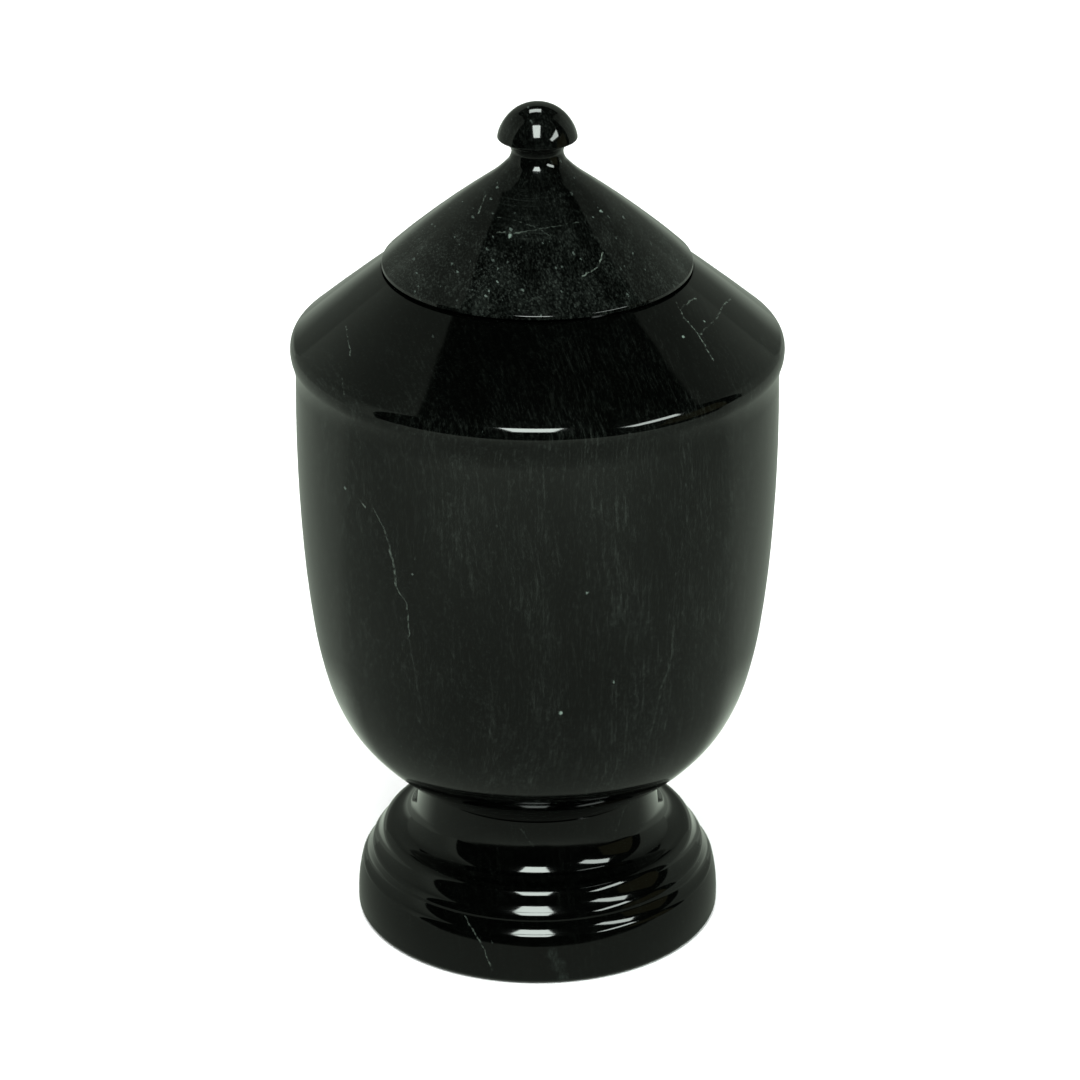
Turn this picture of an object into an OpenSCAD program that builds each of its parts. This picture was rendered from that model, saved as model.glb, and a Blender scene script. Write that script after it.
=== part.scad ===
// Turned marble cremation urn with a loose lid.
//
// Three turned blocks stand on one another: a stepped foot, a hollow body
// and a solid lid with a mushroom knob. The foot and the body meet in a flat
// polished joint. The lid lifts straight off: its underside rests on the
// body's flat mouth, and a short plug below it drops into the bore.
//
// Every profile is a chain of arcs that run smoothly into one another.
// "Tilt" is the angle of the outward surface normal above the horizontal, in
// degrees: 0 is an upright wall, 90 faces straight up, and a negative tilt
// overhangs. Each arc has a radius and the tilt that it has reached at its
// far end. The sign of the change of tilt makes it a bead or a hollow.
// All lengths are in millimetres.

/* [Foot: cove] */
// Radius of the foot's top, where the body stands on it
joint_r = 43.7; // [43:0.1:46]
// Tilt of the cove's wall right under the joint
cove_t0 = 3; // [0:0.5:6]
// Radius of the slow upper part of the cove
cove_r1 = 74; // [60:1:90]
// Tilt at the end of the upper part
cove_t1 = 12; // [9:0.5:15]
// Radius of the tighter middle part of the cove
cove_r2 = 13.3; // [11:0.1:16]
// Tilt at the end of the middle part
cove_t2 = 34; // [30:0.5:40]
// Radius of the sweep out onto the first tier
cove_r3 = 9.5; // [8:0.1:11]
// Tilt of the flat ledge that the cove ends in
cove_t3 = 83.7; // [80:0.1:86]

/* [Foot: tiers] */
// Radius of the first tier's rounded edge
tier1_edge_r = 4.9; // [4:0.1:6]
// Tilt under the first tier's edge
tier1_edge_t = 18.7; // [15:0.1:22]
// Radius of the hollow below the first tier
tier1_hollow_r = 9.3; // [8:0.1:11]
// Tilt at the foot of that hollow
tier1_hollow_t = 49.3; // [46:0.1:54]
// Radius of the second tier's rounded edge
tier2_edge_r = 4.2; // [3.5:0.1:5]
// Tilt under the second tier's edge
tier2_edge_t = 8.3; // [6:0.1:12]
// Radius of the hollow below the second tier
tier2_hollow_r = 7.1; // [6:0.1:8.5]
// Tilt at the foot of that hollow
tier2_hollow_t = 50; // [46:0.5:54]

/* [Foot: plinth] */
// Radius of the plinth's rounded upper edge
plinth_edge_r = 2.8; // [2:0.1:4]
// Tilt below that edge
plinth_edge_t = 14; // [11:0.5:17]
// Radius of the plinth's slightly barrelled side
plinth_side_r = 52.7; // [45:0.1:60]
// Height of the upright part of the side
plinth_land = 2.6; // [1:0.1:6]
// Radius of the rounded edge that the urn stands on
plinth_foot_r = 2.6; // [1:0.1:3.5]

/* [Body: bowl] */
// Radius of the small round at the body's lower edge, at the joint
body_root_r = 0.5; // [0.3:0.1:1]
// Tilt of the bowl where it leaves the joint
bowl_t0 = -59.2; // [-62:0.1:-56]
// Radius of the bowl's lowest part
bowl_r1 = 83; // [78:1:88]
// Tilt at its end
bowl_t1 = -39.6; // [-42:0.1:-37]
// Radius of the bowl's tightest turn
bowl_r2 = 55.3; // [52:0.1:59]
// Tilt at its end
bowl_t2 = -28; // [-31:0.5:-25]
// Radius of the bowl's upper turn
bowl_r3 = 75.2; // [70:0.1:80]
// Tilt at its end
bowl_t3 = -15; // [-18:0.5:-13]
// Radius where the bowl runs into the wall
bowl_r4 = 169; // [160:1:178]
// Tilt at its end
bowl_t4 = -8; // [-9:0.1:-7]

/* [Body: wall] */
// Radius of the lower wall
wall_r1 = 428; // [400:1:450]
// Tilt at its end
wall_t1 = -4; // [-4.5:0.1:-3.5]
// Radius of the middle wall
wall_r2 = 712; // [680:1:740]
// Tilt at its end
wall_t2 = -1.5; // [-2:0.1:-1]
// Radius of the upper wall
wall_r3 = 637; // [610:1:665]
// Tilt at its end, under the shoulder's collar
wall_t3 = 1.5; // [1:0.1:2]

/* [Body: shoulder] */
// Radius of the hollow that flares out under the collar
flare_r = 24; // [21:0.1:27]
// Tilt at the end of the flare
flare_t = -18.9; // [-21:0.1:-16]
// Radius of the collar's bead
collar_r1 = 9.8; // [8.5:0.1:11]
// Tilt at the end of the bead
collar_t1 = 9; // [7:0.5:11]
// Radius of the collar's upper edge
collar_r2 = 5.2; // [4:0.1:6]
// Tilt at its end
collar_t2 = 30; // [27:0.5:33]
// Radius of the turn onto the shoulder
collar_r3 = 4.7; // [4:0.1:6]
// Tilt at the outer end of the shoulder's slope
slope_t0 = 49.3; // [49:0.1:50]
// Radius of the shoulder's slope, which is very slightly domed
slope_r = 913; // [880:1:950]
// Tilt at the inner end of the slope
slope_t1 = 51.8; // [51.5:0.1:52]
// Radius of the rounded edge of the mouth
mouth_edge_r = 0.8; // [0.5:0.1:1.2]

/* [Body: hollow] */
// Thickness of the bowl's and the wall's stone
wall_w = 8; // [7:0.1:10]
// Radius between the hollow's floor and the bowl
floor_fillet_r = 14; // [10:0.5:18]
// Radius between the hollow's wall and the shoulder's underside
crown_fillet_r = 14; // [12:0.5:16]
// Radius of the bore through the mouth
bore_r = 44; // [42:0.1:46]

/* [Lid: knob] */
// Radius of the knob's crown
crown_r = 14.1; // [13.5:0.1:14.5]
// Tilt at the end of the crown
crown_t = 62; // [60:0.5:64]
// Radius of the knob's upper face
dome_r1 = 13.5; // [13:0.1:14]
// Tilt at its end
dome_t1 = 42; // [40:0.5:44]
// Radius of the knob's lower face
dome_r2 = 17.9; // [17.5:0.1:18.4]
// Tilt at its end
dome_t2 = 28; // [26:0.5:30]
// Radius of the knob's flank
dome_r3 = 12.3; // [11.8:0.1:12.8]
// Tilt at the knob's rim
dome_t3 = 8; // [6:0.5:10]
// Radius of the knob's thin rim
knob_rim_r = 0.5; // [0.4:0.1:0.7]
// Tilt where the rim turns under
knob_under_t = -80; // [-82:0.5:-76]
// Radius of the hollow under the knob
knob_under_r = 5.6; // [5.2:0.1:6]
// Tilt where that hollow meets the neck
neck_t1 = -10; // [-12:0.5:-8]

/* [Lid: neck and flank] */
// Radius of the neck's tightest place
neck_r1 = 0.7; // [0.5:0.1:1]
// Tilt just below it
neck_t2 = 6; // [5:0.5:8]
// Radius of the neck's lower sweep
neck_r2 = 7.5; // [7:0.1:8]
// Tilt at its end
neck_t3 = 28; // [26:0.5:30]
// Radius where the neck spreads
neck_r3 = 5.6; // [5.2:0.1:6]
// Tilt at its end
neck_t4 = 42; // [40:0.5:44]
// Radius of the flank's hollow upper part
flank_r1 = 46.7; // [44:0.1:49]
// Tilt at its end, the flank's flattest place
flank_t1 = 54.3; // [53.5:0.1:55]
// Radius of the flank's slightly domed middle
flank_r2 = 390; // [370:5:410]
// Tilt at its end
flank_t2 = 49; // [48:0.1:50]
// Radius of the flank's lower part
flank_r3 = 127; // [120:1:134]
// Tilt at the lid's rim
flank_t3 = 44; // [43:0.5:45]
// Radius of the lid's rounded rim
rim_r = 2.4; // [1.8:0.1:2.8]
// Tilt below the rim
rim_t = 5; // [0:0.5:8]

/* [Lid: seat] */
// Height of the shadow gap between the lid's rim and the mouth
gap_h = 1.4; // [0.8:0.1:2]
// Depth of the shadow gap, in from the lid's rim
gap_d = 2.6; // [1.5:0.1:4]
// Clearance all round between the plug and the bore
plug_clear = 0.8; // [0.4:0.1:1.5]
// Depth of the plug below the seat
plug_h = 6; // [4:0.5:8]
// Chamfer at the plug's lower edge
plug_chamfer = 1; // [0.5:0.1:1.5]

/* [Hidden] */
$fn = 192;

// Largest turn of one facet of a profile, in degrees
turn = 5;

// A chain of arcs. p is the start, t the tilt there, arcs a list of
// [tilt at the far end, radius], and d is 1 for a chain that climbs the
// profile and -1 for one that runs down it. Each point is [r, z, tilt].
function arc_pts(p, a, b, q, d) =
    let (n = max(2, ceil(abs(b - a) / turn)), s = d * sign(b - a) * q)
    [for (i = [1 : n]) let (t = a + (b - a) * i / n)
        [p[0] + s * (cos(t) - cos(a)), p[1] + s * (sin(t) - sin(a)), t]];
function last(v) = v[len(v) - 1];
function chain(pts, arcs, d, i = 0) =
    i == len(arcs) ? pts
    : let (p = last(pts))
      chain(concat(pts, arc_pts(p, p[2], arcs[i][0], arcs[i][1], d)), arcs, d, i + 1);
// A chain moved in by w along the normals: a bead's radius shrinks by w
// and a hollow's grows by it.
function inset_start(p, w) = [p[0] - w * cos(p[2]), p[1] - w * sin(p[2]), p[2]];
function inset_arcs(t0, arcs, w) =
    [for (i = [0 : len(arcs) - 1])
        let (a = i == 0 ? t0 : arcs[i - 1][0])
        [arcs[i][0], arcs[i][1] - sign(arcs[i][0] - a) * w]];
function rz(v, dz = 0) = [for (p = v) [p[0], p[1] + dz]];

// Foot, from the joint down to the floor, first with its top at zero
joint_round = 0.3;
foot_arcs = [
    [cove_t1, cove_r1], [cove_t2, cove_r2], [cove_t3, cove_r3],
    [tier1_edge_t, tier1_edge_r], [tier1_hollow_t, tier1_hollow_r],
    [tier2_edge_t, tier2_edge_r], [tier2_hollow_t, tier2_hollow_r],
    [plinth_edge_t, plinth_edge_r], [0, plinth_side_r]];
foot_side = chain([[joint_r, -joint_round, cove_t0]], foot_arcs, -1);
plinth_r = last(foot_side)[0];
foot_h = -last(foot_side)[1] + plinth_land + plinth_foot_r;
foot_round = arc_pts([plinth_r, plinth_foot_r - foot_h, 0], 0, -90, plinth_foot_r, -1);

// Body, from the joint up to the mouth
body_start = [joint_r + 0.2, foot_h + joint_round, bowl_t0];
bowl_arcs = [[bowl_t1, bowl_r1], [bowl_t2, bowl_r2], [bowl_t3, bowl_r3], [bowl_t4, bowl_r4]];
wall_arcs = [[wall_t1, wall_r1], [wall_t2, wall_r2], [wall_t3, wall_r3]];
collar_arcs = [[flare_t, flare_r], [0, collar_r1], [collar_t1, collar_r1],
    [collar_t2, collar_r2], [slope_t0, collar_r3]];
bowl_side = chain([body_start], concat(bowl_arcs, wall_arcs), 1);
collar_side = chain(bowl_side, collar_arcs, 1);
slope_side = chain(collar_side, [[slope_t1, slope_r]], 1);
mouth_edge = chain(slope_side, [[90, mouth_edge_r]], 1);
mouth_z = last(mouth_edge)[1];
mouth_r = last(mouth_edge)[0];

// Hollow of the body, from its floor up to the bore
hollow_start = inset_start(last(chain([body_start], [bowl_arcs[0]], 1)), wall_w);
floor_fillet = arc_pts(hollow_start, bowl_t1, -90, floor_fillet_r, -1);
hollow_arcs = inset_arcs(bowl_t1, concat([for (i = [1 : len(bowl_arcs) - 1]) bowl_arcs[i]], wall_arcs), wall_w);
hollow_wall = chain([hollow_start], concat(hollow_arcs, [[slope_t1, crown_fillet_r]]), 1);
crown_end = last(hollow_wall);
bore_z = crown_end[1] + (crown_end[0] - bore_r) / tan(slope_t1);
floor_z = last(floor_fillet)[1];

// Lid, from the crown down to the rim, first with its crown at zero
lid_arcs = [
    [crown_t, crown_r], [dome_t1, dome_r1], [dome_t2, dome_r2], [dome_t3, dome_r3],
    [0, knob_rim_r], [knob_under_t, knob_rim_r], [neck_t1, knob_under_r],
    [neck_t2, neck_r1], [neck_t3, neck_r2], [neck_t4, neck_r3],
    [flank_t1, flank_r1], [flank_t2, flank_r2], [flank_t3, flank_r3], [rim_t, rim_r]];
lid_side = chain([[0, 0, 90]], lid_arcs, -1);
lid_r = last(lid_side)[0];
lid_z = mouth_z + gap_h - last(lid_side)[1];
plug_r = bore_r - plug_clear;

// The stepped foot, solid, with its flat top under the body
module foot() {
    color("#141614")
    rotate_extrude()
    translate([0, foot_h])
    polygon(concat(
        [[0, 0], [joint_r - joint_round, 0]],
        rz(foot_side),
        [[plinth_r, plinth_foot_r - foot_h]],
        rz(foot_round),
        [[0, -foot_h]]));
}

// The body: bowl, wall, collar and sloping shoulder, hollow inside and open
// through the mouth
module body() {
    color("#1b1d1b")
    rotate_extrude()
    polygon(concat(
        [[0, foot_h], [body_start[0] - body_root_r, foot_h]],
        rz(mouth_edge),
        [[bore_r, mouth_z], [bore_r, bore_z]],
        [for (i = [len(hollow_wall) - 1 : -1 : 0]) [hollow_wall[i][0], hollow_wall[i][1]]],
        rz(floor_fillet),
        [[0, floor_z]]));
}

// The lid: knob, neck and spreading flank in one solid block, with the seat,
// the shadow gap and the plug turned underneath
module lid() {
    color("#242824")
    rotate_extrude()
    polygon(concat(
        [[0, lid_z]],
        [for (i = [1 : len(lid_side) - 1]) [lid_side[i][0], lid_side[i][1] + lid_z]],
        [[lid_r - gap_d, mouth_z + gap_h], [lid_r - gap_d, mouth_z],
         [plug_r, mouth_z], [plug_r, mouth_z - plug_h + plug_chamfer],
         [plug_r - plug_chamfer, mouth_z - plug_h], [0, mouth_z - plug_h]]));
}

lid();
body();
foot();
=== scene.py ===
import math

import bpy
from mathutils import Matrix, Vector


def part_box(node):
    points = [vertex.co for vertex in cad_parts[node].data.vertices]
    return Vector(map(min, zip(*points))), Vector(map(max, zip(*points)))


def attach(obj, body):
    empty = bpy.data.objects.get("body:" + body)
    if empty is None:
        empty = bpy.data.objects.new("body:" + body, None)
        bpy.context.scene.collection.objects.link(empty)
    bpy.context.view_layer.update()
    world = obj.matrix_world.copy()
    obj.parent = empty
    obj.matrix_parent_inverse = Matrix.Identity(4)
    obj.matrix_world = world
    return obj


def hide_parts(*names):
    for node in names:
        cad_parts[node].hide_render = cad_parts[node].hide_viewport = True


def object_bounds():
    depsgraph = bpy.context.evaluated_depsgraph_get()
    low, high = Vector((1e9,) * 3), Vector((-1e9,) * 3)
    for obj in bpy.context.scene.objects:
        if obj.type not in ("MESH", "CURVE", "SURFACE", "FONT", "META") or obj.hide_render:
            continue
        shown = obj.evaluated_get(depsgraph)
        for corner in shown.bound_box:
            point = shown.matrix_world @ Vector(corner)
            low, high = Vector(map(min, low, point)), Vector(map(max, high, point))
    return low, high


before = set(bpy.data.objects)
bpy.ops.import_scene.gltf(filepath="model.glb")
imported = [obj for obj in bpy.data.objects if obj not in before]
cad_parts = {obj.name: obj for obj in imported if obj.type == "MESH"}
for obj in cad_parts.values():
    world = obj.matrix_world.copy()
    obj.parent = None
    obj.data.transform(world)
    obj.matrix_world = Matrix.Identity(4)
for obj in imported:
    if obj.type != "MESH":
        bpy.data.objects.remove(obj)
cad_lo, cad_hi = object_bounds()

MM = 0.001
SEGS = 288  # facets round the axis of every turned piece
Z_FIT = 0.99999  # a hair's breadth under the CAD box's height


# ---------------------------------------------------------------- profiles
def arc(p, a, b, q, d, turn, least=3):
    """Points after p on an arc from tilt a to tilt b, of radius q; d is 1 going up and -1 going down."""
    n = max(least, math.ceil(abs(b - a) / turn))
    s = d * math.copysign(q, b - a)
    out = []
    for i in range(1, n + 1):
        t = a + (b - a) * i / n
        out.append((p[0] + s * (math.cos(math.radians(t)) - math.cos(math.radians(a))),
                    p[1] + s * (math.sin(math.radians(t)) - math.sin(math.radians(a))), t))
    return out


def chain(start, arcs, d, turn=1.6):
    pts = [start]
    for b, q in arcs:
        pts += arc(pts[-1], pts[-1][2], b, q, d, turn)
    return pts


def inset(t0, arcs, w):
    out, a = [], t0
    for b, q in arcs:
        out.append((b, q - math.copysign(w, b - a)))
        a = b
    return out


JOINT_R = 43.7
FOOT = [(12, 74), (34, 13.3), (83.7, 9.5), (18.7, 4.9), (49.3, 9.3), (8.3, 4.2), (50, 7.1), (14, 2.8), (0, 52.7)]
BOWL = [(-39.6, 83), (-28, 55.3), (-15, 75.2), (-8, 169)]
WALL = [(-4, 428), (-1.5, 712), (1.5, 637)]
COLLAR = [(-18.9, 24), (0, 9.8), (9, 9.8), (30, 5.2), (49.3, 4.7)]
SLOPE = [(51.8, 913)]
LID = [(62, 14.1), (42, 13.5), (28, 17.9), (8, 12.3), (0, 0.5), (-80, 0.5), (-10, 5.6), (6, 0.7), (28, 7.5),
       (42, 5.6), (54.3, 46.7), (49, 390), (44, 127), (5, 2.4)]
WALL_W, BORE_R, GAP_H, GAP_D, PLUG_R, PLUG_H, PLUG_C = 8.0, 44.0, 1.4, 2.6, 43.2, 6.0, 1.0


def foot_profile():
    side = chain((JOINT_R, -0.3, 3.0), FOOT, -1)
    h = -side[-1][1] + 2.6 + 2.6
    side = [(r, z + h, t) for r, z, t in side]
    r = side[-1][0]
    base = [(r, 2.6, 0.0)] + arc((r, 2.6, 0.0), 0, -90, 2.6, -1, 6)
    top = [(0.0, h, 90.0), (JOINT_R * 0.5, h, 90.0), (JOINT_R - 0.3, h, 90.0)]
    bottom = [(base[-1][0] * 0.5, 0.0, -90.0), (0.0, 0.0, -90.0)]
    return [top, side + base[0:1] + base[1:] + bottom], h


def body_profile(h):
    start = (JOINT_R + 0.2, h + 0.3, -59.2)
    side = chain(start, BOWL + WALL + COLLAR + SLOPE, 1)
    mouth = arc(side[-1], side[-1][2], 90, 0.8, 1, 6)
    mz = mouth[-1][1]
    first = chain(start, BOWL[:1], 1)[-1]
    t = math.radians(first[2])
    hs = (first[0] - WALL_W * math.cos(t), first[1] - WALL_W * math.sin(t), first[2])
    inner = chain(hs, inset(first[2], BOWL[1:] + WALL, WALL_W) + [(51.8, 14.0)], 1, 4)
    floor = arc(hs, first[2], -90, 14.0, -1, 5)
    end = inner[-1]
    bz = end[1] + (end[0] - BORE_R) / math.tan(math.radians(51.8))
    base = [(0.0, h, -90.0), (JOINT_R * 0.5, h, -90.0), (JOINT_R + 0.2 - 0.5, h, -90.0)]
    outer = side + mouth + [(BORE_R, mz, 90.0)]
    bore = [(BORE_R, mz, 180.0), (BORE_R, bz, 180.0)]
    flip = lambda p: (p[0], p[1], p[2] + 180.0)  # the hollow's surface faces the axis
    hollow = [(BORE_R, bz, 51.8 + 180.0)] + [flip(p) for p in reversed(inner)] + [flip(p) for p in floor] + [(0.0, floor[-1][1], 90.0)]
    return [base, outer, bore, hollow], mz


def lid_profile(mz):
    side = chain((0.0, 0.0, 90.0), LID[:-2] + [(46.6, 127.0 * 5.0 / 2.4)], -1)
    whole = chain((0.0, 0.0, 90.0), LID, -1)
    # the rim ends in a straight stretch and a small round instead of the wider one, within the same place
    r0, z0, t0 = side[-1]
    b, q = LID[-1]
    c = lambda a: math.cos(math.radians(a))
    n = lambda a: math.sin(math.radians(a))
    run, small = whole[-1][0] - r0, 0.55
    # stretch s along the slope, then the small round: it reaches out as far as the wider round did
    s_len = (run - small * (c(b) - c(t0))) / n(t0)
    side.append((r0 + s_len * n(t0), z0 - s_len * c(t0), t0))
    side += arc(side[-1], t0, b, small, -1, 4)
    side.append((whole[-1][0], whole[-1][1], b))
    z = mz + GAP_H - side[-1][1]
    side = [(r, y + z, t) for r, y, t in side]
    rr = side[-1][0]
    under = [
        [(rr, mz + GAP_H, -90.0), (rr - GAP_D, mz + GAP_H, -90.0)],
        [(rr - GAP_D, mz + GAP_H, 0.0), (rr - GAP_D, mz, 0.0)],
        [(rr - GAP_D, mz, -90.0), (PLUG_R, mz, -90.0)],
        [(PLUG_R, mz, 0.0), (PLUG_R, mz - PLUG_H + PLUG_C, 0.0)],
        [(PLUG_R, mz - PLUG_H + PLUG_C, -45.0), (PLUG_R - PLUG_C, mz - PLUG_H, -45.0)],
        [(PLUG_R - PLUG_C, mz - PLUG_H, -90.0), (PLUG_R * 0.5, mz - PLUG_H, -90.0), (0.0, mz - PLUG_H, -90.0)],
    ]
    return [side] + under


def lathe(name, runs, shrink=1.0, segs=SEGS):
    """One closed turned mesh. runs are stretches of (r mm, z mm, tilt), which join end to end into the whole
    profile; inside a run the surface is smooth, and between runs there is an edge."""
    faces, normals = [], []
    verts = []
    ring = {}

    def row(r, z):
        key = (round(r, 5), round(z, 5))
        if key not in ring:
            first = len(verts)
            if r < 1e-6:
                verts.append((0.0, 0.0, z * MM * Z_FIT))
                ring[key] = (first, 1)
            else:
                for k in range(segs):
                    a = 2 * math.pi * k / segs
                    verts.append((r * MM * shrink * math.cos(a), r * MM * shrink * math.sin(a), z * MM * Z_FIT))
                ring[key] = (first, segs)
        return ring[key]

    cosk = [math.cos(2 * math.pi * k / segs) for k in range(segs)]
    sink = [math.sin(2 * math.pi * k / segs) for k in range(segs)]

    def nrm(t, k):
        c, s = math.cos(math.radians(t)), math.sin(math.radians(t))
        return (c * cosk[k % segs], c * sink[k % segs], s)

    def half(t, k):
        a = 2 * math.pi * (k + 0.5) / segs
        c, s = math.cos(math.radians(t)), math.sin(math.radians(t))
        return (c * math.cos(a), c * math.sin(a), s)

    flat_ends = []
    for run in runs:
        clean = [run[0]]
        for p in run[1:]:
            if abs(p[0] - clean[-1][0]) > 1e-6 or abs(p[1] - clean[-1][1]) > 1e-6:
                clean.append(p)
        flat_ends.append(clean)
    # stretches that don't meet are joined by a narrow chamfer of their own
    whole = []
    for i, run in enumerate(flat_ends):
        if whole:
            a, b = whole[-1][-1], run[0]
            if abs(a[0] - b[0]) > 1e-6 or abs(a[1] - b[1]) > 1e-6:
                whole.append([(a[0], a[1], a[2]), (b[0], b[1], b[2])])
        whole.append(run)
    for run in whole:
        for (r0, z0, t0), (r1, z1, t1) in zip(run, run[1:]):
            (f0, n0), (f1, n1) = row(r0, z0), row(r1, z1)
            if n0 == 1 and n1 == 1:
                continue
            # the face's own normal decides its winding
            ts = math.radians((t0 + t1) / 2 if abs(t1 - t0) < 179 else t0)
            want = (math.cos(ts), math.sin(ts))
            dr, dz = r1 - r0, z1 - z0
            up = (dz * want[0] - dr * want[1]) > 0  # True where (r0,z0)->(r1,z1) climbs with the outside on its right
            for k in range(segs):
                k1 = (k + 1) % segs
                if n0 == 1:
                    f, ns = (f0, f1 + k, f1 + k1), (half(t0, k), nrm(t1, k), nrm(t1, k + 1))
                    order = (0, 1, 2) if not up else (0, 2, 1)
                elif n1 == 1:
                    f, ns = (f0 + k, f1, f0 + k1), (nrm(t0, k), half(t1, k), nrm(t0, k + 1))
                    order = (0, 1, 2) if not up else (0, 2, 1)
                else:
                    f = (f0 + k, f1 + k, f1 + k1, f0 + k1)
                    ns = (nrm(t0, k), nrm(t1, k), nrm(t1, k + 1), nrm(t0, k + 1))
                    order = (0, 1, 2, 3) if not up else (0, 3, 2, 1)
                faces.append([f[i] for i in order])
                normals += [ns[i] for i in order]
    mesh = bpy.data.meshes.new(name)
    mesh.from_pydata(verts, [], faces)
    mesh.polygons.foreach_set("use_smooth", [True] * len(mesh.polygons))
    mesh.validate()
    mesh.update()
    mesh.normals_split_custom_set(normals)
    o = bpy.data.objects.new(name, mesh)
    bpy.context.collection.objects.link(o)
    return o


# ---------------------------------------------------------------- pieces
foot_runs, FOOT_H = foot_profile()
body_runs, MOUTH_Z = body_profile(FOOT_H)
lid_runs = lid_profile(MOUTH_Z)

lo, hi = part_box("body")
shrink = min(-lo[0], hi[0], -lo[1], hi[1]) / (88.352 * MM) * 0.9999

foot = lathe("foot_turned", foot_runs, shrink)
body = lathe("body_turned", body_runs, shrink)
lid = lathe("lid_turned", lid_runs, shrink)
for piece, node in ((foot, "foot"), (body, "body"), (lid, "lid")):
    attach(piece, "root")
    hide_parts(node)


# ---------------------------------------------------------------- node helpers
class Nodes:
    """Short names for building a node tree by hand."""

    def __init__(self, tree):
        self.tree, self.n, self.l = tree, tree.nodes, tree.links

    def put(self, sock, value):
        if value is None:
            return
        if hasattr(value, "is_output"):
            self.l.new(value, sock)
        else:
            sock.default_value = value

    def math(self, op, a, b=None, c=None, clamp=False):
        n = self.n.new("ShaderNodeMath")
        n.operation, n.use_clamp = op, clamp
        for i, v in enumerate((a, b, c)):
            self.put(n.inputs[i], v)
        return n.outputs[0]

    def vec(self, op, a, b=None, c=None, scale=None):
        n = self.n.new("ShaderNodeVectorMath")
        n.operation = op
        self.put(n.inputs[0], a)
        if b is not None:
            self.put(n.inputs[1], b)
        if c is not None:
            self.put(n.inputs[2], c)
        if scale is not None:
            self.put(n.inputs["Scale"], scale)
        return n.outputs["Value"] if op in ("LENGTH", "DISTANCE", "DOT_PRODUCT") else n.outputs[0]

    def noise(self, v, scale, detail=2.0, rough=0.5, distort=0.0, colour=False, dim="3D"):
        n = self.n.new("ShaderNodeTexNoise")
        n.noise_dimensions = dim
        self.put(n.inputs["Vector"], v)
        self.put(n.inputs["Scale"], scale)
        self.put(n.inputs["Detail"], detail)
        self.put(n.inputs["Roughness"], rough)
        self.put(n.inputs["Distortion"], distort)
        return n.outputs["Color" if colour else "Fac"]

    def voronoi(self, v, scale, rand=1.0, feature="F1"):
        n = self.n.new("ShaderNodeTexVoronoi")
        n.feature = feature
        self.put(n.inputs["Vector"], v)
        self.put(n.inputs["Scale"], scale)
        self.put(n.inputs["Randomness"], rand)
        return n.outputs["Distance"], n.outputs.get("Color")

    def ramp(self, v, lo, hi, out_lo=0.0, out_hi=1.0, smooth=True):
        n = self.n.new("ShaderNodeMapRange")
        n.interpolation_type = "SMOOTHSTEP" if smooth else "LINEAR"
        n.clamp = True
        self.put(n.inputs["Value"], v)
        self.put(n.inputs["From Min"], lo)
        self.put(n.inputs["From Max"], hi)
        self.put(n.inputs["To Min"], out_lo)
        self.put(n.inputs["To Max"], out_hi)
        return n.outputs["Result"]

    def mapping(self, v, loc=(0, 0, 0), rot=(0, 0, 0), scale=(1, 1, 1)):
        n = self.n.new("ShaderNodeMapping")
        self.put(n.inputs["Vector"], v)
        self.put(n.inputs["Location"], loc)
        self.put(n.inputs["Rotation"], tuple(math.radians(a) for a in rot))
        self.put(n.inputs["Scale"], scale)
        return n.outputs[0]

    def mix(self, f, a, b):
        n = self.n.new("ShaderNodeMix")
        n.data_type = "RGBA"
        self.put(n.inputs[0], f)
        self.put(n.inputs[6], a)
        self.put(n.inputs[7], b)
        return n.outputs[2]

    def sep(self, v):
        n = self.n.new("ShaderNodeSeparateXYZ")
        self.put(n.inputs[0], v)
        return n.outputs[0], n.outputs[1], n.outputs[2]

    def comb(self, x, y, z):
        n = self.n.new("ShaderNodeCombineXYZ")
        for i, v in enumerate((x, y, z)):
            self.put(n.inputs[i], v)
        return n.outputs[0]

    def add(self, *vals):
        out = vals[0]
        for v in vals[1:]:
            out = self.math("ADD", out, v)
        return out

    def mul(self, *vals):
        out = vals[0]
        for v in vals[1:]:
            out = self.math("MULTIPLY", out, v)
        return out

    def biggest(self, *vals):
        out = vals[0]
        for v in vals[1:]:
            out = self.math("MAXIMUM", out, v)
        return out


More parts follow.
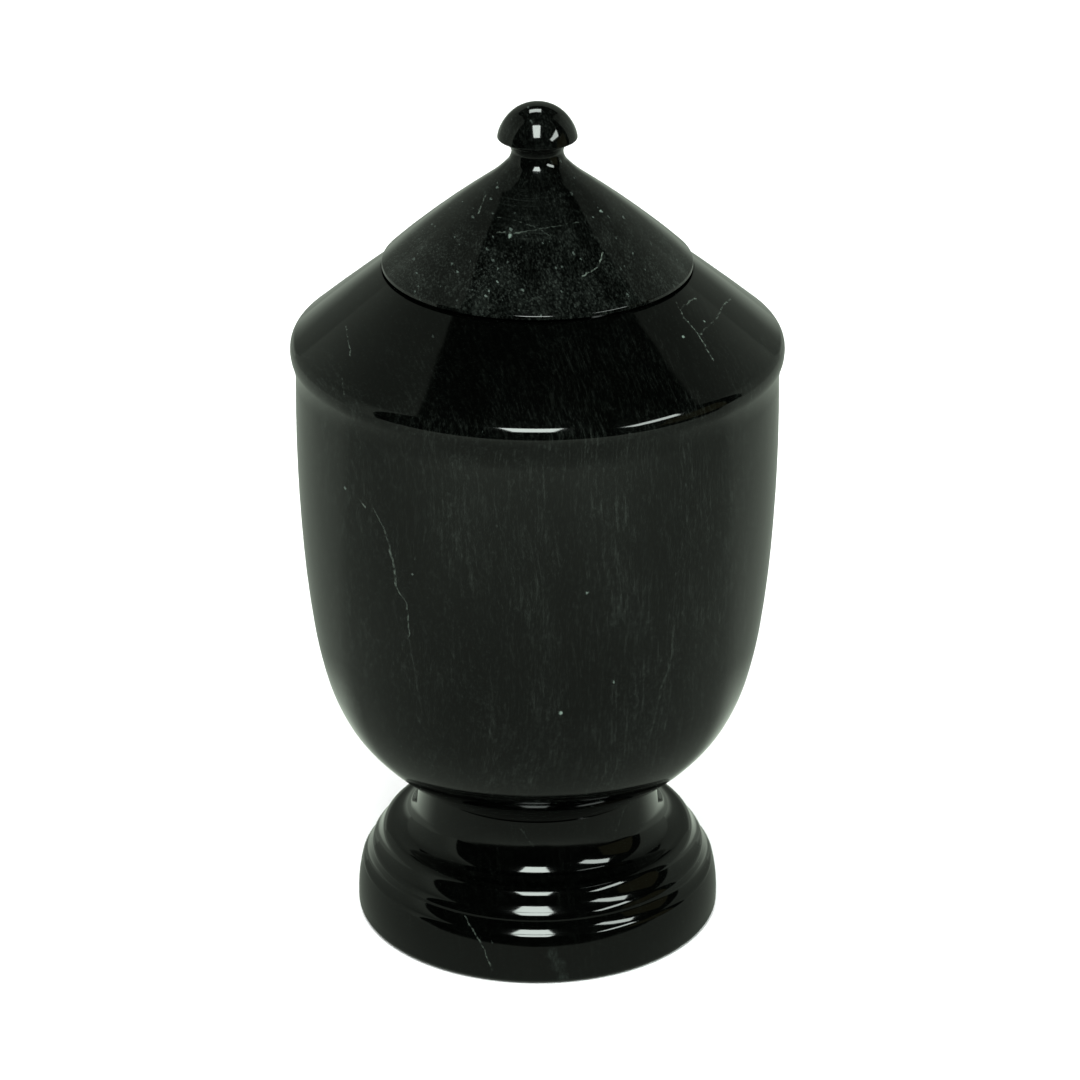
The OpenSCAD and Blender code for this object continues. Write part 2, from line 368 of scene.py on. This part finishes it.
# ---------------------------------------------------------------- marble
def marble(name, seed, lid_like=False, veins=(), spots=(), low=1.0):
    """Near-black polished marble. Everything is worked out from the place in the stone, in millimetres."""
    m = bpy.data.materials.new(name)
    m.use_nodes = True
    t = m.node_tree
    t.nodes.clear()
    N = Nodes(t)
    out = t.nodes.new("ShaderNodeOutputMaterial")
    bsdf = t.nodes.new("ShaderNodeBsdfPrincipled")
    t.links.new(bsdf.outputs[0], out.inputs[0])
    co = t.nodes.new("ShaderNodeTexCoord").outputs["Object"]
    P = N.vec("SCALE", co, scale=1000.0)
    Ps = N.vec("ADD", P, (seed, seed * 0.37, 3.0))
    bend = N.noise(Ps, 0.022, 2.0, 0.5, colour=True)
    Q = N.vec("ADD", Ps, N.vec("SCALE", N.vec("SUBTRACT", bend, (0.5, 0.5, 0.5)), scale=7.0))

    # bedding: upright leaves half a millimetre thick, seen as fibres, in drifts, over a fine grain
    Q = N.mapping(Q, rot=(0, 2, -22))
    drift = N.noise(N.mapping(Q, scale=(1.0, 0.5, 0.28)), 0.06, 4.0, 0.62)
    drifts = N.ramp(drift, 0.36, 0.66)
    fibre = N.noise(N.mapping(Q, scale=(1.0, 0.14, 0.080)), 1.08, 3.0, 0.72)
    grain = N.noise(N.mapping(Q, scale=(1.0, 0.5, 0.4)), 1.25, 3.0, 0.75)
    streak = N.mul(N.ramp(fibre, 0.50, 0.80), N.ramp(drifts, 0.0, 1.0, 0.22, 1.0, smooth=False))
    crumb = N.mul(N.ramp(grain, 0.46, 0.82), N.ramp(fibre, 0.30, 0.62, 0.35, 1.0), N.ramp(drifts, 0.0, 1.0, 0.45, 1.0, smooth=False))

    # single pale crystals, irregular in size and outline
    jag = N.vec("ADD", Ps, N.vec("SCALE", N.noise(Ps, 1.7, 1.0, 0.5, colour=True), scale=1.3))
    d1, c1 = N.voronoi(N.mapping(jag, scale=(1.0, 0.7, 0.5)), 0.16)
    r1, g1, b1 = N.sep(c1)
    speck = N.mul(N.ramp(N.math("SUBTRACT", d1, N.ramp(r1, 0.45, 1.0, -0.04, 0.055, smooth=False)), 0.0, 0.02, 1.0, 0.0), N.ramp(g1, 0.3, 1.0, 0.05, 1.0))
    d2, c2 = N.voronoi(N.mapping(jag, loc=(9, 4, 1), scale=(1.0, 1.0, 0.40)), 0.42)
    r2, g2, b2 = N.sep(c2)
    dust = N.mul(N.ramp(N.math("SUBTRACT", d2, N.ramp(r2, 0.45, 1.0, -0.05, 0.09, smooth=False)), 0.0, 0.05, 1.0, 0.0), N.ramp(g2, 0.1, 1.0, 0.05, 1.0))

    height_in = N.sep(P)[2]
    east = N.ramp(N.sep(P)[0], -62.0, 15.0, 0.55, 1.0)
    level = N.add(N.mul(streak, east, 0.85), N.mul(crumb, 0.85), N.mul(drifts, 0.03), N.mul(dust, 1.0))
    # painted shade: the pale marks are dimmed over the shoulder (from 222 to 236 mm up), which the light from above
    # strikes more, and on the underside of the bowl (from 90 down to 62 mm), over the foot; the lid, wholly above, and
    # the foot, wholly below, are dimmed evenly by it
    level = N.mul(level, N.ramp(height_in, 222.0, 236.0, 1.0, 0.30), N.ramp(height_in, 62.0, 90.0, 0.25 if low == 1.0 else 0.4, 1.0))
    if lid_like:
        mottle = N.noise(N.mapping(Q, scale=(1.0, 0.6, 0.5)), 0.11, 5.0, 0.70)
        patchy = N.ramp(mottle, 0.46, 0.80)
        grit = N.ramp(N.noise(N.mapping(Q, scale=(1.0, 0.6, 0.5)), 1.5, 3.0, 0.75), 0.46, 0.80)
        level = N.add(N.mul(level, 1.0), N.mul(patchy, 0.14), N.mul(grit, N.ramp(mottle, 0.36, 0.66, 0.25, 1.0), 1.0))
        level = N.mul(level, N.ramp(height_in, 264.0, 286.0, 2.0, 0.8))
        px, py, pz = N.sep(P)
        rad = N.math("SQRT", N.add(N.mul(px, px), N.mul(py, py)))
        rings = N.noise(N.comb(rad, N.mul(px, 0.03), N.mul(py, 0.03)), 2.0, 2.0, 0.7)
        worn = N.mul(N.ramp(N.vec("DISTANCE", P, (-4.0, -24.0, 281.5)), 4.0, 15.0, 1.0, 0.0), N.ramp(mottle, 0.36, 0.60, 0.4, 1.0))
        level = N.add(level, N.mul(N.ramp(rings, 0.52, 0.74), worn, 0.75), N.mul(worn, 0.10))
        d3, c3 = N.voronoi(N.mapping(N.mapping(jag, rot=(0, 12, -22)), scale=(1.0, 0.45, 0.45)), 0.50)
        r3, g3, b3 = N.sep(c3)
        fleck = N.mul(N.ramp(N.math("SUBTRACT", d3, N.ramp(r3, 0.10, 1.0, -0.06, 0.17, smooth=False)), 0.0, 0.07, 1.0, 0.0),
                      N.ramp(g3, 0.05, 1.0, 0.05, 1.0), N.ramp(mottle, 0.36, 0.60, 0.35, 1.0))
        speck = N.biggest(speck, fleck)
    dark, light = (0.00008, 0.00016, 0.00010, 1), (0.0140 * low, 0.0172 * low, 0.0147 * low, 1)
    colour = N.mix(level, dark, light)
    colour = N.mix(N.mul(speck, 0.60 if lid_like else 0.60 * low), colour, (0.115, 0.150, 0.130, 1))
    for at, size, power in spots:
        d = N.vec("DISTANCE", N.vec("ADD", P, N.vec("SCALE", N.vec("SUBTRACT", N.noise(P, 1.1, 1.0, 0.5, colour=True), (0.5, 0.5, 0.5)), scale=1.4)), tuple(at))
        patch = N.ramp(d, size * 0.35, size, power, 0.0)
        if size > 2:  # a cloud rather than a crystal: broken up by the grain
            patch = N.mul(patch, N.ramp(grain, 0.40, 0.70, 0.35, 1.9))
        colour = N.mix(patch, colour, (0.16, 0.21, 0.18, 1))

    # veins: thin cracks healed with pale calcite, each a run of short stretches
    vein = None
    if veins:
        wob = N.vec("SUBTRACT", N.noise(P, 0.35, 3.0, 0.65, colour=True), (0.5, 0.5, 0.5))
        Vw = N.vec("ADD", P, N.vec("SCALE", wob, scale=1.9))
        for pts, width, power in veins:
            for a, b in zip(pts, pts[1:]):
                A, Bv = Vector(a), Vector(b)
                ab = Bv - A
                pa = N.vec("SUBTRACT", Vw, tuple(A))
                h = N.math("DIVIDE", N.vec("DOT_PRODUCT", pa, tuple(ab)), ab.dot(ab), clamp=True)
                d = N.vec("LENGTH", N.vec("SUBTRACT", pa, N.vec("SCALE", tuple(ab), scale=h)))
                v = N.ramp(d, width * 0.2, width, power, 0.0)
                vein = v if vein is None else N.biggest(vein, v)
        vein = N.mul(vein, N.ramp(N.noise(P, 0.5, 3.0, 0.7), 0.38, 0.62, 0.06, 1.0))
        colour = N.mix(vein, colour, (0.095, 0.120, 0.100, 1))
    t.links.new(colour, bsdf.inputs["Base Color"])

    # polish: mirror-smooth, a little duller in drifts and over the pale crystals
    rough = N.add(0.045, N.mul(drift, 0.05), N.mul(speck, 0.10))
    if vein is not None:
        rough = N.add(rough, N.mul(vein, 0.20))
    t.links.new(rough, bsdf.inputs["Roughness"])
    bsdf.inputs["IOR"].default_value = 1.5
    bsdf.inputs["Specular IOR Level"].default_value = 0.5

    # surface: slow waves left by hand polishing, and a fine orange peel
    height = N.add(N.noise(P, 0.07, 1.0, 0.5), N.mul(N.noise(P, 1.1, 2.0, 0.6), 0.012))
    if lid_like:
        height = N.add(height, N.mul(rings, 0.010))
    bump = t.nodes.new("ShaderNodeBump")
    bump.inputs["Strength"].default_value = 1.0
    bump.inputs["Distance"].default_value = 0.00006
    t.links.new(height, bump.inputs["Height"])
    t.links.new(bump.outputs[0], bsdf.inputs["Normal"])
    return m


BODY_VEINS = [
    ([(-61.7, -60.9, 190.4), (-60.0, -62.6, 188.4)], 0.45, 0.9),
    ([(-57.0, -65.4, 189.0), (-53.6, -68.0, 183.3), (-51.6, -69.4, 177.5), (-49.9, -70.3, 169.9)], 0.42, 0.40),
    ([(-51.6, -69.4, 175.5), (-49.9, -70.3, 169.9), (-49.3, -70.3, 161.4)], 0.70, 0.60),
    ([(-49.3, -70.3, 161.4), (-45.8, -72.2, 156.1), (-45.2, -72.3, 151.9), (-45.0, -71.4, 143.0)], 0.40, 0.55),
    ([(-45.0, -71.4, 143.0), (-41.4, -70.5, 117.5), (-36.6, -63.4, 85.6)], 0.55, 0.10),
    ([(47.8, -70.1, 146.2), (47.0, -69.1, 131.7), (43.6, -69.9, 121.5), (39.9, -67.8, 101.5)], 0.6, 0.13),
    ([(45.3, -65.6, 105.9), (44.2, -58.5, 85.9)], 0.55, 0.12),
    ([(48.2, -31.2, 252.4), (49.6, -33.5, 250.4), (51.0, -35.7, 248.9), (55.8, -39.3, 244.0), (61.2, -46.6, 236.8)], 0.40, 0.75),
    ([(49.9, -33.0, 250.6), (53.0, -26.5, 251.2), (55.6, -22.4, 250.7)], 0.40, 0.55),
    ([(56.5, -38.8, 243.7), (62.9, -25.3, 244.4), (65.8, -13.3, 244.9), (68.6, -5.1, 243.6)], 0.40, 0.6),
    ([(-67.1, -25.0, 241.2), (-65.3, -38.7, 237.7), (-64.8, -42.6, 236.3)], 0.35, 0.45),
    ([(-67.8, -48.7, 231.3), (-66.8, -56.0, 228.0)], 0.35, 0.35),
    # the far side, in keeping
    ([(20.0, 84.0, 196.0), (27.0, 82.0, 178.0), (25.0, 82.5, 160.0), (33.0, 79.0, 141.0)], 0.45, 0.5),
    ([(-70.0, 50.0, 170.0), (-66.0, 54.0, 150.0), (-67.0, 51.0, 134.0)], 0.40, 0.35),
    ([(-30.0, 56.0, 244.0), (-41.0, 57.0, 237.0), (-44.0, 66.0, 231.0)], 0.38, 0.45),
]
BODY_SPOTS = [((8.3, -81.4, 117.8), 1.0, 0.8), ((17.2, -84.3, 165.7), 0.7, 0.45), ((26.8, -78.8, 128.6), 0.6, 0.4),
              ((50.8, -44.1, 244.8), 0.8, 0.6), ((58.1, -31.5, 245.7), 0.7, 0.5), ((-67.2, -54.9, 192.3), 0.8, 0.5)]
LID_VEINS = [([(22.6, -31.6, 271.2), (21.0, -37.0, 268.0), (18.5, -39.2, 267.3), (15.4, -41.6, 266.4)], 0.36, 1.0),
             ([(-10.2, -29.3, 277.4), (-5.2, -29.7, 278.1), (0.9, -29.0, 279.0), (7.1, -27.3, 279.6), (14.5, -24.2, 279.6)], 0.32, 0.30),
             ([(-13.9, -22.4, 281.0), (-7.7, -25.4, 280.8), (-1.6, -28.0, 279.7), (4.0, -30.8, 277.3)], 0.30, 0.22),
             ([(-20.4, -17.6, 280.5), (-19.8, -15.2, 282.0), (-19.0, -12.6, 283.7), (-18.0, -11.3, 284.8)], 0.5, 0.65),
             ([(-13.9, -27.9, 277.3), (-8.9, -29.4, 277.6), (-5.2, -29.8, 278.0)], 0.45, 0.45),
             ([(-28.0, 28.0, 272.0), (-33.0, 22.0, 269.0), (-40.0, 20.0, 265.0)], 0.36, 0.6)]
LID_SPOTS = [((22.2, -15.3, 280.5), 0.9, 0.6), ((-9.5, -30.2, 276.9), 1.0, 0.7)]
FOOT_VEINS = [([(-26.4, -56.8, 22.5), (-23.4, -60.9, 18.9), (-20.5, -63.0, 15.1), (-18.4, -64.4, 10.5), (-16.6, -65.2, 5.1)], 0.42, 0.48),
              ([(-7.5, -43.1, 53.4), (-1.6, -44.7, 45.2)], 0.4, 0.13),
              ([(32.4, -29.3, 54.0), (30.2, -32.1, 49.3), (28.0, -35.3, 43.5)], 0.4, 0.16),
              ([(50.0, 44.0, 13.0), (46.0, 49.0, 8.0), (47.0, 48.0, 1.0)], 0.42, 0.5)]

FOOT_SPOTS = [((5.5, -66.6, 12.5), 3.0, 0.030), ((7.6, -66.8, 8.0), 3.6, 0.035), ((9.2, -66.6, 2.5), 3.0, 0.028), ((-38.0, -50.0, 18.0), 1.2, 0.12)]

body.data.materials.append(marble("marble_body", 4.0, veins=BODY_VEINS, spots=BODY_SPOTS))
foot.data.materials.append(marble("marble_foot", 47.0, veins=FOOT_VEINS, spots=FOOT_SPOTS, low=0.5))
lid.data.materials.append(marble("marble_lid", 80.0, lid_like=True, veins=LID_VEINS, spots=LID_SPOTS))


# ---------------------------------------------------------------- stage
def plain(name, colour, rough=0.9):
    m = bpy.data.materials.new(name)
    m.use_nodes = True
    b = m.node_tree.nodes["Principled BSDF"]
    b.inputs["Base Color"].default_value = (*colour, 1)
    b.inputs["Roughness"].default_value = rough
    b.inputs["Specular IOR Level"].default_value = 0.0
    return m


def glow(name, level, colour=(1, 1, 1)):
    m = bpy.data.materials.new(name)
    m.use_nodes = True
    t = m.node_tree
    t.nodes.clear()
    e = t.nodes.new("ShaderNodeEmission")
    e.inputs[0].default_value = (*colour, 1)
    e.inputs[1].default_value = level
    o = t.nodes.new("ShaderNodeOutputMaterial")
    t.links.new(e.outputs[0], o.inputs[0])
    return m


def sheet(name, corners, mat, camera=True, glossy=True, diffuse=True, shadow=True):
    mesh = bpy.data.meshes.new(name)
    mesh.from_pydata([tuple(c) for c in corners], [], [tuple(range(len(corners)))])
    mesh.update()
    o = bpy.data.objects.new(name, mesh)
    bpy.context.collection.objects.link(o)
    mesh.materials.append(mat)
    o.visible_camera, o.visible_glossy, o.visible_diffuse, o.visible_shadow = camera, glossy, diffuse, shadow
    o.visible_transmission = False
    return o


z0 = cad_lo[2] - 0.00005
FALL = 7.3  # degrees
# the floor that the camera sees and that the lamps light
sheet("floor", [(-12, -12, z0), (12, -12, z0), (12, 12, z0), (-12, 12, z0)], plain("floor_white", (0.94, 0.94, 0.94)), glossy=False)
# what the polish mirrors: a table top that ends in front, and white walls at the sides and behind
TINT = (0.87, 1.0, 0.84)


def glow_field(name, build):
    """An emitter whose strength is worked out from the place on it, in metres."""
    m = bpy.data.materials.new(name)
    m.use_nodes = True
    t = m.node_tree
    t.nodes.clear()
    N = Nodes(t)
    e = t.nodes.new("ShaderNodeEmission")
    e.inputs[0].default_value = (*TINT, 1)
    place = t.nodes.new("ShaderNodeTexCoord").outputs["Object"]
    t.links.new(build(N, *N.sep(place)), e.inputs[1])
    o = t.nodes.new("ShaderNodeOutputMaterial")
    t.links.new(e.outputs[0], o.inputs[0])
    return m


def table_level(N, x, y, z):
    near = N.ramp(y, -0.95, -0.20, 0.23, 0.0, smooth=False)
    side = N.ramp(N.math("ABSOLUTE", x), 0.12, 0.30, 0.0, 0.05, smooth=False)
    rad = N.math("SQRT", N.add(N.mul(x, x), N.mul(y, y)))
    far = N.mul(N.ramp(y, 0.02, 0.10, 0.0, 1.0), N.ramp(rad, 0.15, 0.23, 0.52, 0.10))
    return N.add(0.248, near, side, far)


# the cloth under the urn is flat near it and falls away a little in front
ring_pts, ring_faces, RAYS = [(0.0, 0.0, z0)], [], 72
for rad, drop in ((0.16, 0.0), (1.40, 1.0), (2.2, 1.6)):
    for k in range(RAYS):
        a = 2 * math.pi * k / RAYS
        front = min(1.0, max(0.0, (-math.cos(a) + 0.25) / 0.5)) if rad > 0.2 else 0.0
        fall = front * front * (3 - 2 * front) * drop * 1.24 * math.tan(math.radians(FALL))
        out_to = rad if rad < 1.5 else (1.41 if front > 0.5 else rad)
        ring_pts.append((out_to * math.sin(a), out_to * math.cos(a), z0 - fall))
for k in range(RAYS):
    k1 = (k + 1) % RAYS
    ring_faces.append((0, 1 + k, 1 + k1))
    for j in (0, 1):
        ring_faces.append((1 + j * RAYS + k, 1 + (j + 1) * RAYS + k, 1 + (j + 1) * RAYS + k1, 1 + j * RAYS + k1))
table_mesh = bpy.data.meshes.new("table_mirrored")
table_mesh.from_pydata(ring_pts, [], ring_faces)
table_mesh.materials.append(glow_field("table_glow", table_level))
table = bpy.data.objects.new("table_mirrored", table_mesh)
bpy.context.collection.objects.link(table)
table.visible_camera = table.visible_diffuse = table.visible_shadow = table.visible_transmission = False
sheet("wall_left", [(-1.25, y, z) for y, z in ((-0.32, -0.3), (1.6, -0.3), (1.6, 1.72), (1.1, 1.74), (0.7, 2.1), (0.5, 2.24), (-0.05, 2.22), (-0.25, 1.95), (-0.32, 1.7))],
      glow_field("left_glow", lambda N, x, y, z: N.add(0.29, N.ramp(y, -0.35, 0.1, 0.13, 0.0), N.ramp(z, 0.6, 1.6, 0.0, -0.12))), camera=False, diffuse=False, shadow=False)
sheet("wall_right", [(1.25, y, z) for y, z in ((0.24, -0.3), (1.6, -0.3), (1.6, 1.5), (0.75, 2.1), (0.40, 2.05), (0.30, 1.8), (0.24, 1.5))],
      glow_field("right_glow", lambda N, x, y, z: N.add(0.30, N.ramp(z, 0.6, 1.6, 0.0, -0.16))), camera=False, diffuse=False, shadow=False)
sheet("wall_back", [(-1.25, 1.6, z0), (1.25, 1.6, z0), (1.25, 1.6, 1.5), (0.0, 1.6, 1.6), (-1.25, 1.6, 1.72)],
      glow_field("back_glow", lambda N, x, y, z: N.add(0.20, N.ramp(z, 0.0, 0.45, 0.35, 0.0))), camera=False, diffuse=False, shadow=False)


def area(name, centre, along, width, length, radiance):
    """A softbox: a rectangle that is level across and whose length lies along the given direction, facing down."""
    v = Vector(along).normalized()
    x = Vector((1, 0, 0))
    n = x.cross(v)
    if n.z < 0:
        n = -n
    d = bpy.data.lights.new(name, "AREA")
    d.shape, d.size, d.size_y = "RECTANGLE", width, length
    d.energy = radiance * math.pi * width * length
    d.color = (0.90, 1.0, 0.94)
    o = bpy.data.objects.new(name, d)
    bpy.context.collection.objects.link(o)
    o.location = centre
    o.rotation_euler = Matrix((x, n.cross(x), n)).transposed().to_euler()
    o.visible_camera = False
    return o


# a large softbox overhead in front, just left of the camera, and one overhead behind
area("softbox_main", (-0.07, -1.35, 1.763), (0, 1.1, 0.314), 0.66, 1.144, 16.0)
area("softbox_back", (-0.12, 0.80, 1.80), (0, 1, 0), 0.66, 0.44, 9.0)


# a leaning softbox to the right of the camera
def seen(az, el, d, z=0.04):
    a = math.radians(az)
    return (d * math.sin(a), -d * math.cos(a), z + d * math.tan(math.radians(el)))


sheet("softbox_right", [seen(39, 33.0, 1.35), seen(44, 26.5, 1.35), seen(70, 34.5, 1.15), seen(75, 46.5, 1.0), seen(57, 43.0, 1.0)],
      glow("softbox_right_glow", 11.0, (0.90, 1.0, 0.94)), camera=False, shadow=False)
# a warm dim corner of the room, beyond the right-hand lamp
sheet("room_corner", [seen(54, -3, 2.2), seen(92, -3, 2.2), seen(90, 30, 2.2), seen(60, 22, 2.2)],
      glow("room_corner_glow", 0.11, (1.0, 0.96, 0.55)), camera=False, diffuse=False, shadow=False)

sun = bpy.data.lights.new("room_light", "SUN")
sun.energy, sun.angle = 3.9, math.radians(100)
so = bpy.data.objects.new("room_light", sun)
so.rotation_euler = (math.radians(12), math.radians(-6), 0)
bpy.context.collection.objects.link(so)
so.visible_glossy = False

world = bpy.data.worlds.new("World")
bpy.context.scene.world = world
world.use_nodes = True
wt = world.node_tree
wt.nodes.clear()
lp = wt.nodes.new("ShaderNodeLightPath")
b1 = wt.nodes.new("ShaderNodeBackground")
b2 = wt.nodes.new("ShaderNodeBackground")
b1.inputs[0].default_value, b1.inputs[1].default_value = (0.9, 1.0, 0.9, 1), 0.012
b2.inputs[0].default_value, b2.inputs[1].default_value = (1, 1, 1, 1), 1.0
mx = wt.nodes.new("ShaderNodeMixShader")
wo = wt.nodes.new("ShaderNodeOutputWorld")
wt.links.new(lp.outputs["Is Camera Ray"], mx.inputs[0])
wt.links.new(b1.outputs[0], mx.inputs[1])
wt.links.new(b2.outputs[0], mx.inputs[2])
wt.links.new(mx.outputs[0], wo.inputs[0])

# ---------------------------------------------------------------- camera
cam = bpy.data.cameras.new("camera")
cam.lens, cam.sensor_width, cam.sensor_fit = 153.33, 36.0, "HORIZONTAL"
cam.clip_start, cam.clip_end = 0.05, 60.0
co = bpy.data.objects.new("camera", cam)
co.location = (0.00091, -1.5238, 0.8415)
co.rotation_euler = (math.radians(90 - 24.49), 0, 0)
bpy.context.collection.objects.link(co)
bpy.context.scene.camera = co

vs = bpy.context.scene.view_settings
vs.view_transform = "Standard"
vs.look = "None"
vs.exposure, vs.gamma = 0.0, 1.0
